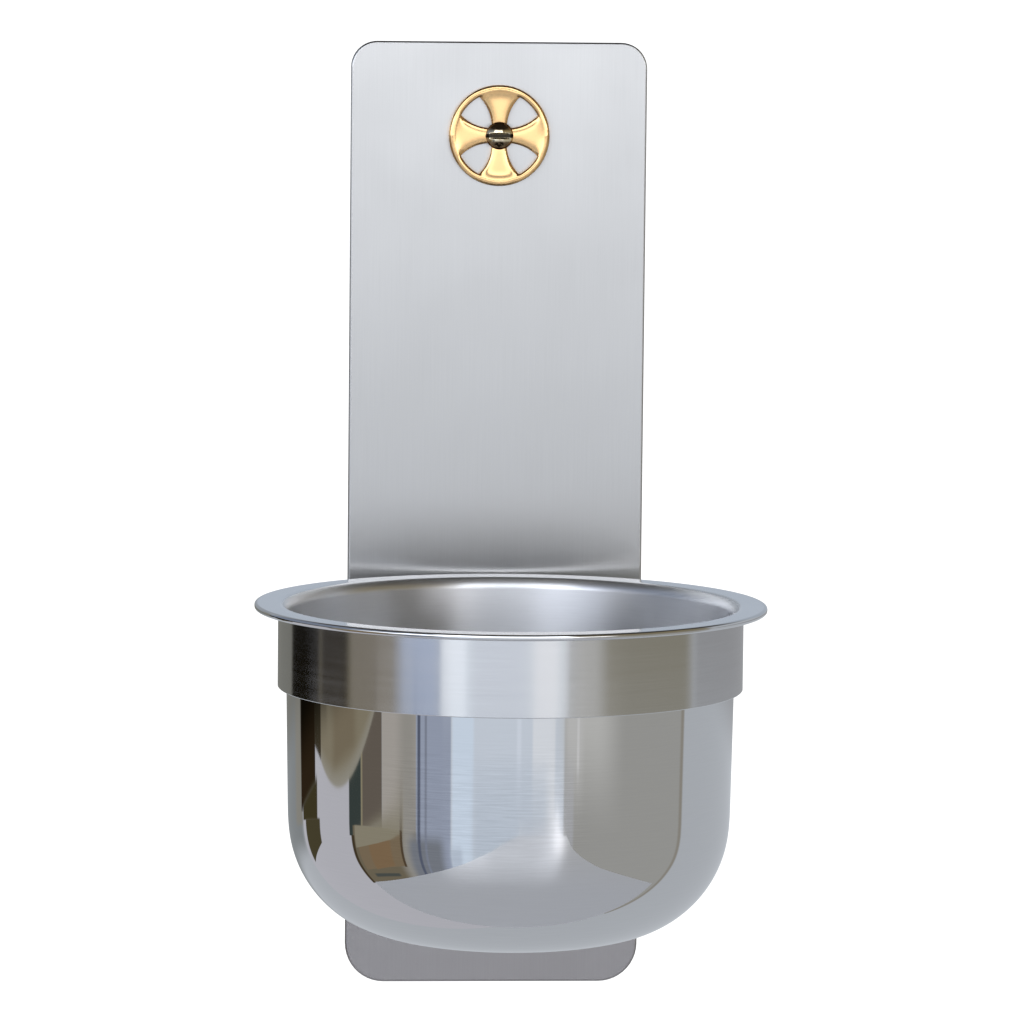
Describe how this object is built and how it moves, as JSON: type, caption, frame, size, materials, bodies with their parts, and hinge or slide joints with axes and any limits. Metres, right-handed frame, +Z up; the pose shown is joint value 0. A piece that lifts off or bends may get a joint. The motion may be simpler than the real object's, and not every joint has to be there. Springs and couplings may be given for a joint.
{
  "type": "holy water stoup",
  "caption": "Wall-hung holy water stoup: a steel back plate with a pierced brass cross carries a ring, in which a lift-out steel bowl hangs by its rim.",
  "frame": {"origin": "middle of the back plate's rear face, which lies on the wall", "axes": "+X to the right as seen from the room, +Y into the wall, +Z up along the plate"},
  "size_m": [0.152, 0.157, 0.292],
  "materials": {
    "satin_plate": "satin, fine vertical grain",
    "turned_steel": "plain turned steel",
    "brushed_band": "brushed round the band",
    "screw_steel": "plain machined steel",
    "polished_bowl": "polished outside with a fine brushing, satin inside",
    "polished_brass": "polished",
    "dark_brass": "polished, darkened"
  },
  "bodies": {
    "bracket": {"back_plate": "satin_plate", "ring_standoff": "turned_steel", "bowl_ring": "brushed_band", "ring_screw_upper": "screw_steel", "ring_screw_lower": "screw_steel", "emblem": "polished_brass", "emblem_screw": "dark_brass"},
    "bowl": {"bowl": "polished_bowl"}
  },
  "joints": [
    {"name": "bowl_lift", "type": "slide", "parent": "bracket", "child": "bowl", "axis": [0, 0, 1], "range_m": [0, 0.11]}
  ]
}
